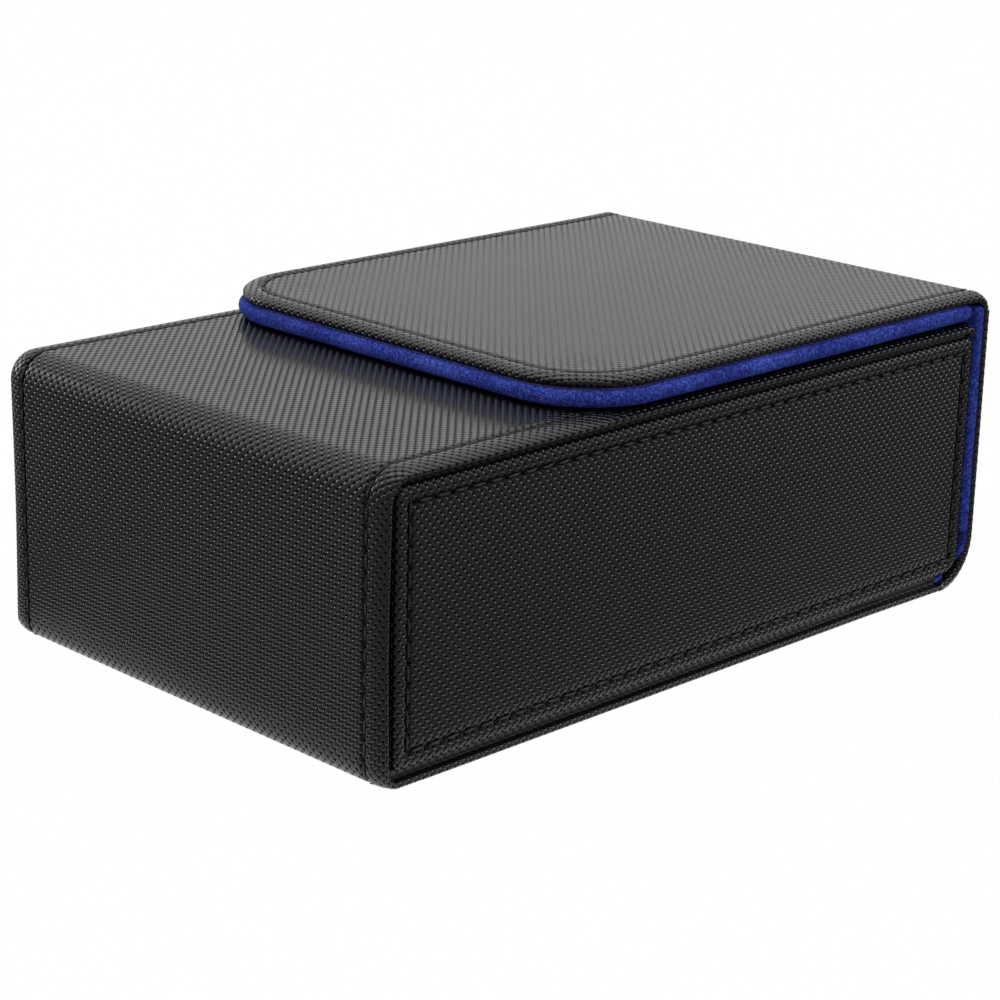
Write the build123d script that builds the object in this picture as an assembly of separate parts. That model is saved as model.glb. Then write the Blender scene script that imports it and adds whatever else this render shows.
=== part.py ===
from build123d import *
import os
from math import pi

# A card case that lies on its back: a sleeve closed on three sides, two sewn side panels, and a padded
# cover that folds out of the underside, up over the card mouth and over the top.
# X runs from the closed end to the cover's end leaf, -Y is the near side, Z is up. Millimetres.

# Overall sizes
case_length = 141.0  # closed end to the outside of the end leaf
case_width = 90.0  # rim to rim across the long side panels
body_height = 47.6  # underside to the top of the body, without the flap

# Layers
skin = 0.8  # embossed PU leather
wall_board = 1.3  # grey board in the sleeve's walls
lining = 0.5  # microfibre glued to the inside
hem = 1.3  # skin doubled along the sleeve's open rims
hem_width = 2.5
rim_radius = 0.55  # roll of the rims

# Sleeve
end_top_radius = 5.0  # bend from the top into the closed end
end_bottom_radius = 3.0  # bend from the closed end into the underside

# Side panels, set in behind the rims
panel_recess = 1.0
panel_board = 1.7
panel_corner = 1.2
panel_heel_radius = 3.2  # corner that reaches into the lower bend
panel_edge_radius = 0.9

# End leaf, over the card mouth
end_leaf_inset = 0.5  # each side, behind the rims
end_leaf_board = 0.8
end_leaf_pad = 1.9
mouth_gap = 0.8  # end leaf's pad to the mouth
lower_bend_radius = 9.0
lower_bend_lining = 1.1  # microfibre and its backing in the bend
leaf_edge_radius = 0.5

# Flap, over the top
flap_length = 100.8  # front edge to the outside of the end leaf
flap_inset = 1.1  # each side, behind the rims
flap_corner_radius = 15.0
flap_board = 1.2
flap_pad = 2.8
flap_pad_proud = 0.7  # the pad stands out past the leaf
flap_gap = 0.3  # flap's pad to the body's top
upper_fold_radius = 3.5
flap_edge_radius = 0.7
pad_gap = 0.9  # between the flap's pad and the end leaf's pad

# Pads
pad_cover = 0.4
pad_turn_in = 3.0  # cover folded in behind the foam
pad_lower_roll = 1.6
pad_upper_roll = 1.1
end_pad_roll = 0.8
foam_bevel = 0.5  # the foam's cut edges, as a share of the cover's roll
end_pad_clearance = 0.5  # under the upper fold
fold_lining = 0.4

# Magnets
magnet_radius = 4.0
magnet_clearance = 0.05
magnet_thickness = 1.1
magnet_setback = 12.0  # from the flap's front edge
magnet_spacing = 44.0

# Places that follow from the sizes
closed_x = -case_length / 2
hinge_x = case_length / 2
rim_y = case_width / 2
wall = skin + wall_board + lining
end_leaf = skin + end_leaf_board
mouth_x = hinge_x - end_leaf - end_leaf_pad - mouth_gap
flap_leaf = skin + flap_board
flap_pad_low = body_height + flap_gap
flap_pad_top = flap_pad_low + flap_pad
flap_top = flap_pad_top + flap_leaf
bend_x = hinge_x - lower_bend_radius
fold_x = hinge_x - upper_fold_radius
fold_z = flap_top - upper_fold_radius
flap_front_x = hinge_x - flap_length
end_leaf_half = rim_y - end_leaf_inset
flap_half = rim_y - flap_inset
panel_thickness = skin + panel_board + lining
panel_outer_y = rim_y - panel_recess
panel_inner_y = panel_outer_y - panel_thickness
board_half = rim_y - hem_width

# The folds turn about the middle of the flat strip that each bend unrolls to
lower_strip = (lower_bend_radius - skin / 2) * pi / 2
upper_strip = (upper_fold_radius - skin / 2) * pi / 2
lower_axis_x = bend_x + lower_strip / 2
lower_axis_z = hinge_x - lower_axis_x
upper_axis_x = fold_x + upper_strip / 2
upper_axis_z = fold_z + upper_strip / 2


def block(x_span, y_span, z_span):
    size = [high - low for low, high in (x_span, y_span, z_span)]
    middle = [(high + low) / 2 for low, high in (x_span, y_span, z_span)]
    return Pos(*middle) * Box(*size)


def outline(points, radii):
    path = FilletPolyline(*points, radius=radii, close=True)
    return make_face(path)


def across(profile, half):
    # a profile drawn in X and Z, carried to both sides of the middle
    return extrude(Plane.XZ * profile, amount=half, both=True)


def sleeve_section(inset):
    # the sleeve's U seen from the near side, set in from its outer face
    left = closed_x + inset
    high = body_height - inset
    points = [(mouth_x, high), (left, high), (left, inset), (mouth_x, inset)]
    return outline(points, [0, end_top_radius - inset, end_bottom_radius - inset, 0])


def sleeve_layer(outer, inner, half):
    # one layer of the sleeve; the underside stops where the lower bend starts
    layer = across(sleeve_section(outer) - sleeve_section(inner), half)
    past_bend = block((bend_x, hinge_x), (-rim_y, rim_y), (0, body_height / 2))
    return layer - past_bend


def make_sleeve_skin():
    strip = sleeve_layer(0, skin, rim_y)
    middle = block((closed_x, hinge_x), (-board_half, board_half), (0, body_height))
    hems = sleeve_layer(0, hem, rim_y) - middle
    lip_depth = skin + wall_board
    lip = block((mouth_x - skin, mouth_x), (-board_half, board_half), (body_height - lip_depth, body_height))
    sleeve = strip + hems + lip
    at_rims = [e for e in sleeve.edges() if abs(abs(e.center().Y) - rim_y) < 0.001 and e.length > 2 * hem]
    return fillet(at_rims, rim_radius)


def make_sleeve_boards():
    y_span = (-board_half, board_half)
    top_z = body_height - skin
    top = block((closed_x + end_top_radius, mouth_x - skin), y_span, (top_z - wall_board, top_z))
    end_x = closed_x + skin
    end = block((end_x, end_x + wall_board), y_span, (end_bottom_radius, body_height - end_top_radius))
    bottom = block((closed_x + end_bottom_radius, bend_x), y_span, (skin, skin + wall_board))
    return top, end, bottom


def make_sleeve_linings():
    # each sheet covers its board; the end sheet stands between the other two
    y_span = (-board_half, board_half)
    left = closed_x + wall
    top = block((left, mouth_x), y_span, (body_height - wall, body_height - wall + lining))
    bottom = block((left, bend_x), y_span, (wall - lining, wall))
    end = block((left - lining, left), y_span, (end_bottom_radius, body_height - end_top_radius))
    return top, end, bottom


def magnet_pair(radius, low, high):
    x = flap_front_x + magnet_setback
    disc = Cylinder(radius, high - low)
    height = (high + low) / 2
    return [Pos(x, side * magnet_spacing / 2, height) * disc for side in (-1, 1)]


def panel_section(inset):
    left = closed_x + wall + inset
    right = mouth_x - inset
    low = wall + inset
    high = body_height - wall - inset
    corner = panel_corner - inset
    points = [(left, high), (right, high), (right, low), (left, low)]
    return outline(points, [corner, corner, panel_heel_radius - inset, corner])


def panel_slab(inset, outer_y, inner_y):
    # a layer of the near panel; its profile is carried from the outer face inwards
    return extrude(Plane.XZ.offset(inner_y) * panel_section(inset), amount=outer_y - inner_y)


def make_near_panel():
    board_outer = panel_outer_y - skin
    board_inner = panel_inner_y + lining
    board = panel_slab(skin, board_outer, board_inner)
    cover = panel_slab(0, panel_outer_y, board_inner)
    cover = fillet(cover.faces().sort_by(Axis.Y)[0].edges(), panel_edge_radius)
    return cover - board, board, panel_slab(0, board_inner, panel_inner_y)


def quarter_bend(centre_x, centre_z, outer, inner, rise, half):
    # a quarter turn of a layer round the cover's bend; rise is 1 for the upper fold and -1 for the lower
    reach = 2 * outer
    ring = Circle(outer) - Circle(inner)
    quarter = ring & (Pos(reach / 2, rise * reach / 2) * Rectangle(reach, reach))
    return across(Pos(centre_x, centre_z) * quarter, half)


def make_end_leaf():
    z_span = (lower_bend_radius, fold_z)
    leaf = block((hinge_x - end_leaf, hinge_x), (-end_leaf_half, end_leaf_half), z_span)
    long_edges = leaf.edges().filter_by(Axis.Z)
    leaf = fillet(long_edges, leaf_edge_radius)
    board_half_width = end_leaf_half - skin
    board = block((hinge_x - end_leaf, hinge_x - skin), (-board_half_width, board_half_width), z_span)
    return leaf - board, board


def make_end_pad():
    inner_x = mouth_x + mouth_gap
    outer_x = hinge_x - end_leaf
    low = lower_bend_radius + pad_cover
    high = fold_z + upper_fold_radius - skin - fold_lining - end_pad_clearance - end_pad_roll
    half = rim_y - pad_cover
    whole = fillet(block((inner_x, outer_x), (-half, half), (low, high)).edges(), end_pad_roll)
    foam_half = half - pad_cover
    foam_z = (low + pad_cover, high - pad_cover)
    foam_x = (inner_x + pad_cover, outer_x - pad_cover)
    foam = chamfer(block(foam_x, (-foam_half, foam_half), foam_z).edges(), foam_bevel * end_pad_roll)
    glued_half = foam_half - pad_turn_in
    glued_z = (foam_z[0] + pad_turn_in, foam_z[1] - pad_turn_in)
    foam = foam + block((foam_x[1] - pad_cover, outer_x), (-glued_half, glued_half), glued_z)
    return whole - foam, foam


def flap_section(grow, tail_x, tail_radius):
    # the flap seen from above, with round front corners
    front = flap_front_x - grow
    half = flap_half + grow
    front_radius = flap_corner_radius + grow
    points = [(tail_x, -half), (tail_x, half), (front, half), (front, -half)]
    return outline(points, [tail_radius, tail_radius, front_radius, front_radius])


def flap_slab(grow, tail_x, tail_radius, low, high):
    return extrude(Pos(0, 0, low) * flap_section(grow, tail_x, tail_radius), amount=high - low)


def free_edges(solid, z, tail_x):
    return [e for e in solid.edges() if abs(e.center().Z - z) < 0.001 and e.center().X < tail_x - 0.001]


def make_flap():
    leaf = flap_slab(0, fold_x, 0, flap_pad_top, flap_top)
    leaf = fillet(free_edges(leaf, flap_top, fold_x), flap_edge_radius)
    leaf = chamfer(free_edges(leaf, flap_pad_top, fold_x), flap_edge_radius / 2)
    board = flap_slab(-skin, fold_x, 0, flap_pad_top, flap_top - skin)
    pockets = magnet_pair(magnet_radius + magnet_clearance, flap_pad_top, flap_pad_top + magnet_thickness)
    return leaf - board, board - pockets


def make_flap_pad():
    tail = mouth_x + mouth_gap - pad_gap
    low, high = flap_pad_low, flap_pad_top
    tail_radius = pad_lower_roll + pad_cover
    whole = flap_slab(flap_pad_proud, tail, tail_radius, low, high)
    whole = fillet(whole.edges().group_by(Axis.Z)[0], pad_lower_roll)
    whole = fillet(whole.edges().group_by(Axis.Z)[-1], pad_upper_roll)
    grow = flap_pad_proud - pad_cover
    foam_low, foam_high = low + pad_cover, high - pad_cover
    foam = flap_slab(grow, tail - pad_cover, tail_radius - pad_cover, foam_low, foam_high)
    foam = chamfer(foam.edges().group_by(Axis.Z)[0], foam_bevel * pad_lower_roll)
    foam = chamfer(foam.edges().group_by(Axis.Z)[-1], foam_bevel * pad_upper_roll)
    glued_tail = tail - pad_cover - pad_turn_in
    foam = foam + flap_slab(grow - pad_turn_in, glued_tail, 0, foam_high - pad_cover, high)
    return whole - foam, foam


def make_pieces():
    top_board, closed_end_board, bottom_board = make_sleeve_boards()
    top_lining, closed_end_lining, bottom_lining = make_sleeve_linings()
    board_low = body_height - skin - wall_board
    pockets = magnet_pair(magnet_radius + magnet_clearance, board_low, board_low + magnet_thickness)
    near_skin, near_board, near_lining = make_near_panel()
    end_leaf_skin, end_board = make_end_leaf()
    end_pad_cover, end_foam = make_end_pad()
    flap_skin, flap_stiffener = make_flap()
    flap_cover, flap_foam = make_flap_pad()
    lower_inner = lower_bend_radius - skin
    upper_inner = upper_fold_radius - skin
    lower_lining_radius = lower_inner - lower_bend_lining
    return {
        "sleeve_skin": make_sleeve_skin(),
        "top_board": top_board - pockets,
        "closed_end_board": closed_end_board,
        "bottom_board": bottom_board,
        "top_lining": top_lining,
        "closed_end_lining": closed_end_lining,
        "bottom_lining": bottom_lining,
        "body_magnets": Compound(magnet_pair(magnet_radius, board_low, board_low + magnet_thickness)),
        "near_panel_skin": near_skin,
        "near_panel_board": near_board,
        "near_panel_lining": near_lining,
        "far_panel_skin": mirror(near_skin, Plane.XZ),
        "far_panel_board": mirror(near_board, Plane.XZ),
        "far_panel_lining": mirror(near_lining, Plane.XZ),
        "lower_hinge_skin": quarter_bend(bend_x, lower_bend_radius, lower_bend_radius, lower_inner, -1, rim_y),
        "lower_hinge_lining": quarter_bend(
            bend_x, lower_bend_radius, lower_inner, lower_lining_radius, -1, rim_y - pad_cover
        ),
        "end_leaf_skin": end_leaf_skin,
        "end_leaf_board": end_board,
        "end_leaf_pad_cover": end_pad_cover,
        "end_leaf_foam": end_foam,
        "upper_hinge_skin": quarter_bend(fold_x, fold_z, upper_fold_radius, upper_inner, 1, flap_half),
        "upper_hinge_lining": quarter_bend(
            fold_x, fold_z, upper_inner, upper_inner - fold_lining, 1, flap_half - pad_cover
        ),
        "flap_skin": flap_skin,
        "flap_board": flap_stiffener,
        "flap_magnets": Compound(magnet_pair(magnet_radius, flap_pad_top, flap_pad_top + magnet_thickness)),
        "flap_pad_cover": flap_cover,
        "flap_foam": flap_foam,
    }


os.makedirs("parts", exist_ok=True)
for name, piece in make_pieces().items():
    export_step(piece, f"parts/{name}.step")
print(f"lower fold axis x {lower_axis_x:.3f} z {lower_axis_z:.3f}")
print(f"upper fold axis x {upper_axis_x:.3f} z {upper_axis_z:.3f}")
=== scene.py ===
import bpy
import math
import numpy as np
from mathutils import Matrix, Vector


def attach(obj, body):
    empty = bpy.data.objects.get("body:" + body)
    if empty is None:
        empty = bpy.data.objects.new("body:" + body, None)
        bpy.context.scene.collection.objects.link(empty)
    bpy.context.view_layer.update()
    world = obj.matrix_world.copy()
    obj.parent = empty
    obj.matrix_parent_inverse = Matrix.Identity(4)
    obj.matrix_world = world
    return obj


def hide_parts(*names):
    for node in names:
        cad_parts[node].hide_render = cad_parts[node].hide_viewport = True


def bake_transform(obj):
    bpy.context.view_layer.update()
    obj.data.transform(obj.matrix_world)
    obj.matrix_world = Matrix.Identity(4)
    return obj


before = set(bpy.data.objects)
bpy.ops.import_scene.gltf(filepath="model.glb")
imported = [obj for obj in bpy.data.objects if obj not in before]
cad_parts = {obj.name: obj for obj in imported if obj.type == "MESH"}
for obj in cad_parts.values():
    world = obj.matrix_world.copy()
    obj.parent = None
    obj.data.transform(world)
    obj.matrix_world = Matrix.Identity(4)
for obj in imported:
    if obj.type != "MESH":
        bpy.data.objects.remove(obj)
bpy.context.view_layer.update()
mm = 0.001
quarter = math.pi / 2
endless = 900.0  # millimetres, far past the ends of any sheet here

# sizes of the case that several pieces share, in millimetres, as in the solids
case = {
    "endX": -70.5, "rimY": 45.0, "bodyTop": 47.6, "flapTop": 52.7, "mouthX": 66.2,
    "bendX": 61.5, "bendRadius": 9.0, "foldX": 67.0, "foldZ": 49.2, "foldRadius": 3.5, "skin": 0.8,
    "bendPhase": 126.835,  # where the grain stands at the start of the lower bend
}
# the embossed grain: round buttons on a square lattice that stands on its corner
grain = {"pitch": 1.5625, "relief": 0.1, "level": 0.9, "wander": 0.05, "crownEdge": 0.62, "pitEdge": 1.2,
         "furrowShade": 3.5}  # how fast a seam's furrow counts as shaded, per millimetre of its depth
fine, coarse = grain["pitch"] / 4, grain["pitch"] / 2  # mesh steps that keep in time with the grain
backStep, bendStep = 30.0, 1.0  # and those of the bare backs
print("frame loaded,", len(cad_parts), "solids")


# finishes

class Wire:  # a socket that takes part in sums

    def __init__(self, finish, socket):
        self.finish, self.socket = finish, socket

    def twin(self, output):  # another output of the same node
        return Wire(self.finish, self.socket.node.outputs[output])

    def sum(self, operation, first, second):
        return self.finish.node("ShaderNodeMath", {"operation": operation}, {0: first, 1: second})

    def __add__(self, other):
        return self.sum("ADD", self, other)

    def __radd__(self, other):
        return self.sum("ADD", other, self)

    def __sub__(self, other):
        return self.sum("SUBTRACT", self, other)

    def __rsub__(self, other):
        return self.sum("SUBTRACT", other, self)

    def __mul__(self, other):
        return self.sum("MULTIPLY", self, other)

    def __rmul__(self, other):
        return self.sum("MULTIPLY", other, self)

    def __truediv__(self, other):
        return self.sum("DIVIDE", self, other)

    def __pow__(self, other):
        return self.sum("POWER", self, other)


class Finish:  # a material or world under construction

    def __init__(self, holder):
        holder.use_nodes = True
        self.holder, self.tree = holder, holder.node_tree
        self.tree.nodes.clear()

    def node(self, kind, settings=None, sockets=None, output=0):
        made = self.tree.nodes.new(kind)
        for key, value in (settings or {}).items():
            if key == "stops":
                ramp = made.color_ramp.elements
                while len(ramp) < len(value):
                    ramp.new(0.5)
                for stop, (place, colour) in zip(ramp, value):
                    stop.position, stop.color = place, (*colour, 1.0)
            else:
                setattr(made, key, value)
        for key, value in (sockets or {}).items():
            if isinstance(value, Wire):
                self.tree.links.new(value.socket, made.inputs[key])
            else:
                made.inputs[key].default_value = value
        return Wire(self, made.outputs[output]) if made.outputs else None

    def noise(self, place, scale, detail, rough=0.5, output=0):
        return self.node("ShaderNodeTexNoise", None,
                         {"Vector": place, "Scale": scale, "Detail": detail, "Roughness": rough}, output)

    def bump(self, strength, depth, height):
        return self.node("ShaderNodeBump", None, {"Strength": strength, "Distance": depth * mm, "Height": height})

    def tint(self, share, dark, light):
        return self.node("ShaderNodeMix", {"data_type": "RGBA"}, {0: share, 6: (*dark, 1), 7: (*light, 1)}, 2)

    def surface(self, shader):
        self.node("ShaderNodeOutputMaterial", None, {"Surface": shader})
        return self.holder


def newFinish(name):
    return Finish(bpy.data.materials.new(name))


def puFinish(name, look):
    # black leatherette: buttons along the sheet's own flat lay, fine pores, worn crowns, painted shade in pits and
    # seam furrows (a darker colour and a dark matte mix there)
    f = newFinish(name)
    lay = f.node("ShaderNodeAttribute", {"attribute_name": "grain"}, output="Vector")
    drift = f.noise(lay, look["driftScale"], 1.0, output="Color")
    drift = f.node("ShaderNodeVectorMath", {"operation": "MULTIPLY_ADD"},
                   {0: drift, 1: (look["wander"],) * 3, 2: lay})
    along = f.node("ShaderNodeSeparateXYZ", None, {0: drift})
    across = along.twin(1)
    furrow = f.node("ShaderNodeSeparateXYZ", None, {0: lay}, 2)
    drawn = f.node("ShaderNodeAttribute", {"attribute_name": "drawn"}, output="Fac")
    full = 1 - look["drawnFlat"] * drawn
    offs = [f.node("ShaderNodeMath", {"operation": "PINGPONG"}, {0: run / look["pitch"], 1: 0.5})
            for run in (along + across, along - across)]
    fromCrown = 2 * (offs[0] * offs[0] + offs[1] * offs[1]) ** 0.5
    button = f.node("ShaderNodeMapRange", {"interpolation_type": "SMOOTHSTEP"},
                    {0: fromCrown, 1: look["crownEdge"], 2: look["pitEdge"], 3: 1.0, 4: 0.0})
    pores = f.noise(lay, look["poreScale"], 3.0, rough=0.6)
    patches = f.noise(lay, look["patchScale"], 2.0)
    bump = f.bump(1.0, look["bumpDepth"],
                  full * (button - look["dish"] * button ** look["dishPower"]) + look["pores"] * pores)
    # crowns are lighter and polished by wear; the darker colour in the pits and seam furrows is painted shade
    bare = (1 - look["furrowShadeAndWear"] * furrow) * button
    wearAndShadeTone = f.tint(bare * (0.5 + 0.5 * patches), look["shadedPitColour"], look["crown"])
    rough = (look["rough"] - look["polish"] * bare
             + look["poreRough"] * (pores - 0.5) + look["patchRough"] * (patches - 0.5))
    shine = f.node("ShaderNodeBsdfPrincipled", None,
                   {"Base Color": wearAndShadeTone, "Roughness": rough, "Normal": bump, "Specular IOR Level": look["specular"]})
    # painted shade: a dark matte shader mixed in over the pits and seam furrows, less where the skin is drawn flat;
    # drawn skin also takes a share of it and is duller
    paintedShade = f.node("ShaderNodeBsdfPrincipled", None,
                  {"Base Color": (*look["shadedPitColour"], 1), "Roughness": look["paintedShadeRough"], "Specular IOR Level": 0.0})
    raised = f.node("ShaderNodeMapRange", {"interpolation_type": "SMOOTHSTEP"},
                    {0: button, 1: 0.0, 2: look["paintedShadeEdge"], 3: 1 - look["paintedShade"] * full})
    lit = raised * (1 - look["furrowPaintedShade"] * furrow) * (1 - look["drawnDull"] * drawn)
    return f.surface(f.node("ShaderNodeMixShader", None, {0: lit, 1: paintedShade, 2: shine}))


def napFinish(name, look):
    # blue microfibre: short brushed fibres, lighter tips, slow shading where the nap leans
    f = newFinish(name)
    place = f.node("ShaderNodeTexCoord", None, None, "Object")
    fibre = f.noise(place, look["fibreScale"], 4.0, rough=0.7)
    clumps = f.noise(place, look["clumpScale"], 3.0)
    lean = f.noise(place, look["leanScale"], 2.0)
    tone = look["fibreTone"] * fibre + look["clumpTone"] * clumps + look["leanTone"] * lean
    tips = f.node("ShaderNodeValToRGB", {"stops": look["stops"]}, {"Fac": tone})
    bump = f.bump(look["bump"], look["bumpDepth"], fibre + look["clumpHeight"] * clumps)
    cloth = f.node("ShaderNodeBsdfPrincipled", None,
                   {"Base Color": tips, "Roughness": look["rough"] + look["fibreRough"] * (fibre - 0.5),
                    "Normal": bump, "Specular IOR Level": look["specular"], "Sheen Weight": look["sheen"],
                    "Sheen Roughness": look["sheenRough"], "Sheen Tint": (*look["sheenTint"], 1)})
    return f.surface(cloth)


def threadFinish(name, look):
    # waxed black thread: two plies twisted round each other, its colour painted shade that is darker between the plies
    # and lighter on their crests, times random fuzz
    f = newFinish(name)
    lay = f.node("ShaderNodeAttribute", {"attribute_name": "grain"}, output="Vector")
    along = f.node("ShaderNodeSeparateXYZ", None, {0: lay})
    across = along.twin(1)
    twist = f.node("ShaderNodeMath", {"operation": "SINE"},
                   {0: look["twistAlong"] * along + look["twistAcross"] * across})
    fuzz = f.noise(lay, look["fuzzScale"], 2.0)
    ply = 0.5 + 0.5 * twist
    bump = f.bump(look["bump"], look["bumpDepth"], ply + look["fuzzHeight"] * fuzz)
    # painted shade: darker in the crevices between the plies, lighter on their crests
    tone = f.tint(ply * fuzz, look["dark"], look["light"])
    waxed = f.node("ShaderNodeBsdfPrincipled", None,
                   {"Base Color": tone, "Roughness": look["rough"] + look["fuzzRough"] * fuzz, "Normal": bump,
                    "Specular IOR Level": look["specular"]})
    return f.surface(waxed)


def plainFinish(name, look):
    # board and plated metal, out of sight inside the walls
    speckDepth, speckRough = 0.1, 0.15
    f = newFinish(name)
    place = f.node("ShaderNodeTexCoord", None, None, "Object")
    speck = f.noise(place, look["scale"], 4.0, rough=0.65)
    tone = f.tint(speck, look["dark"], look["light"])
    bump = f.bump(look["bump"], speckDepth, speck)
    stuff = f.node("ShaderNodeBsdfPrincipled", None,
                   {"Base Color": tone, "Roughness": look["rough"] + speckRough * (speck - 0.5), "Normal": bump,
                    "Metallic": look["metal"]})
    return f.surface(stuff)


puLook = {**grain, "driftScale": 0.16, "poreScale": 5.5, "patchScale": 0.05,  # noise scales, per millimetre
          "pores": 0.06, "bumpDepth": 0.14, "dish": 0.1, "dishPower": 6,
          # painted shade: how much of the dark matte mix lies in the pits and seam furrows
          "paintedShade": 0.92, "paintedShadeEdge": 0.22, "paintedShadeRough": 0.9, "furrowPaintedShade": 0.8, "furrowShadeAndWear": 0.85,
          "drawnFlat": 0.75, "drawnDull": 0.22,  # where the skin is drawn tight or pressed smooth
          # the darker pit colour is painted shade
          "shadedPitColour": (0.002, 0.002, 0.0022), "crown": (0.008, 0.008, 0.0086),
          "rough": 0.32, "polish": 0.22, "poreRough": 0.1, "patchRough": 0.08, "specular": 0.58}
napLook = {"fibreScale": 4200.0, "clumpScale": 1900.0, "leanScale": 90.0,  # noise scales, per metre
           "fibreTone": 0.55, "clumpTone": 0.3, "leanTone": 0.15, "clumpHeight": 0.8, "bump": 0.9, "bumpDepth": 0.25,
           "rough": 0.88, "fibreRough": 0.1, "specular": 0.1,
           "sheen": 0.16, "sheenRough": 0.45, "sheenTint": (0.14, 0.22, 1.0),
           "stops": [(0.38, (0.006, 0.008, 0.09)), (0.5, (0.04, 0.062, 0.46)), (0.61, (0.16, 0.24, 1.0))]}
threadLook = {"twistAlong": 14.0, "twistAcross": 9.0, "fuzzScale": 9.0, "fuzzHeight": 0.4, "bump": 0.8,
              "bumpDepth": 0.12, "dark": (0.003, 0.003, 0.003), "light": (0.03, 0.03, 0.031),
              "rough": 0.24, "fuzzRough": 0.2, "specular": 0.5}
leather = puFinish("embossedLeatherette", puLook)
microfibre = napFinish("blueMicrofibre", napLook)
thread = threadFinish("waxedThread", threadLook)
greyBoard = plainFinish("greyBoard", {"scale": 900.0, "dark": (0.22, 0.2, 0.18), "light": (0.5, 0.47, 0.42),
                                      "bump": 0.4, "rough": 0.85, "metal": 0.0})
plated = plainFinish("platedDisc", {"scale": 600.0, "dark": (0.5, 0.5, 0.51), "light": (0.7, 0.7, 0.72),
                                    "bump": 0.1, "rough": 0.28, "metal": 1.0})
print("finishes ready")


# modelling helpers

def deselectAll():
    if bpy.context.mode != "OBJECT":
        bpy.ops.object.mode_set(mode="OBJECT")
    bpy.ops.object.select_all(action="DESELECT")


def clamp(values):
    return np.clip(values, 0, 1)


def tracePath(start, heading, runs):
    # a line of straight runs (radius 0) and arcs (plus turns left, minus right); gives point and heading
    rows, done, (a, b), h = [], 0.0, start, heading
    for length, radius in runs:
        bend = 1.0 / radius if radius else 0.0
        rows.append((done, a, b, h, bend))
        if bend:
            a += (math.sin(h + bend * length) - math.sin(h)) / bend
            b += (math.cos(h) - math.cos(h + bend * length)) / bend
        else:
            a, b = a + length * math.cos(h), b + length * math.sin(h)
        h += bend * length
        done += length
    rows = np.array(rows)

    def at(q):
        q = np.asarray(q, float)
        row = rows[np.clip(np.searchsorted(rows[:, 0], q, side="right") - 1, 0, len(rows) - 1)]
        gone, first, bend = q - row[..., 0], row[..., 3], row[..., 4]
        turned, flat = first + bend * gone, bend == 0
        safe = np.where(flat, 1.0, bend)
        x = row[..., 1] + np.where(flat, gone * np.cos(first), (np.sin(turned) - np.sin(first)) / safe)
        y = row[..., 2] + np.where(flat, gone * np.sin(first), (np.cos(first) - np.cos(turned)) / safe)
        return x, y, turned

    at.length = done
    return at


def spread(low, high, step):
    # grid lines on whole steps, so that they keep in time with the grain, and both ends
    clear = 0.3 * step
    inner = np.arange(math.ceil((low + clear) / step), math.floor((high - clear) / step) + 1) * step
    return np.concatenate([[low], inner, [high]])


def turnEdges(p, q, box, radii, edge, rim):
    # lays a flat sheet on a plate and takes its border round the plate's edge and corners
    p0, p1, q0, q1 = box
    midP, midQ, halfP, halfQ = (p0 + p1) / 2, (q0 + q1) / 2, (p1 - p0) / 2, (q1 - q0) / 2
    signP, signQ = np.where(p > midP, 1.0, -1.0), np.where(q > midQ, 1.0, -1.0)
    corner = np.array(radii)[(signP > 0).astype(int), (signQ > 0).astype(int)]
    overP, overQ = np.abs(p - midP) - (halfP - corner), np.abs(q - midQ) - (halfQ - corner)
    over = np.maximum(overP, overQ)
    inCorner = (overP > 0) & (overQ > 0)
    share = np.minimum(overP, overQ) / np.where(over > 0, over, 1.0)
    sideP = overP >= overQ
    angle = np.where(sideP, quarter / 2 * share, quarter - quarter / 2 * share)
    angle = np.where(inCorner, angle, np.where(sideP, 0.0, quarter))
    dirP, dirQ = np.cos(angle) * signP, np.sin(angle) * signQ
    coreP = np.where(inCorner | sideP, midP + signP * (halfP - corner), p)
    coreQ = np.where(inCorner | ~sideP, midQ + signQ * (halfQ - corner), q)
    gone = over - (corner - rim)
    out, drop, turned = edge(np.maximum(gone, 0.0))
    reach = np.where(gone > 0, corner - rim + out, over)
    height = np.where(gone > 0, drop, 0.0)
    tilt = np.where(gone > 0, turned, 0.0)
    return {"p": coreP + dirP * reach, "q": coreQ + dirQ * reach, "n": height,
            "normal": (-np.sin(tilt) * dirP, -np.sin(tilt) * dirQ, np.cos(tilt)),
            "lay": (coreP + dirP * over, coreQ + dirQ * over), "inside": corner - over}


flatEdge = tracePath((0, 0), 0, [(1.0, 0)])  # for a plate whose border stays flat


def onPath(path, side):
    # carries a laid-out sheet round a bent profile; side 1 is left of the way the path runs
    def carry(s, y, n, normal):
        x, z, turned = path(s)
        outX, outZ = -side * np.sin(turned), side * np.cos(turned)
        points = np.stack([x + outX * n, y, z + outZ * n], -1)
        along, sideways, up = normal
        normals = np.stack([np.cos(turned) * along + outX * up, sideways,
                            np.sin(turned) * along + outZ * up], -1)
        return points, normals
    return carry


def buttons(lay):
    # height of the embossing, from 0 in a pit to 1 on a crown
    along, across = lay
    offs = [run - np.round(run) for run in ((along + across) / grain["pitch"], (along - across) / grain["pitch"])]
    fall = clamp((2 * np.hypot(*offs) - grain["crownEdge"]) / (grain["pitEdge"] - grain["crownEdge"]))
    return 1 - fall * fall * (3 - 2 * fall)


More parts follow.
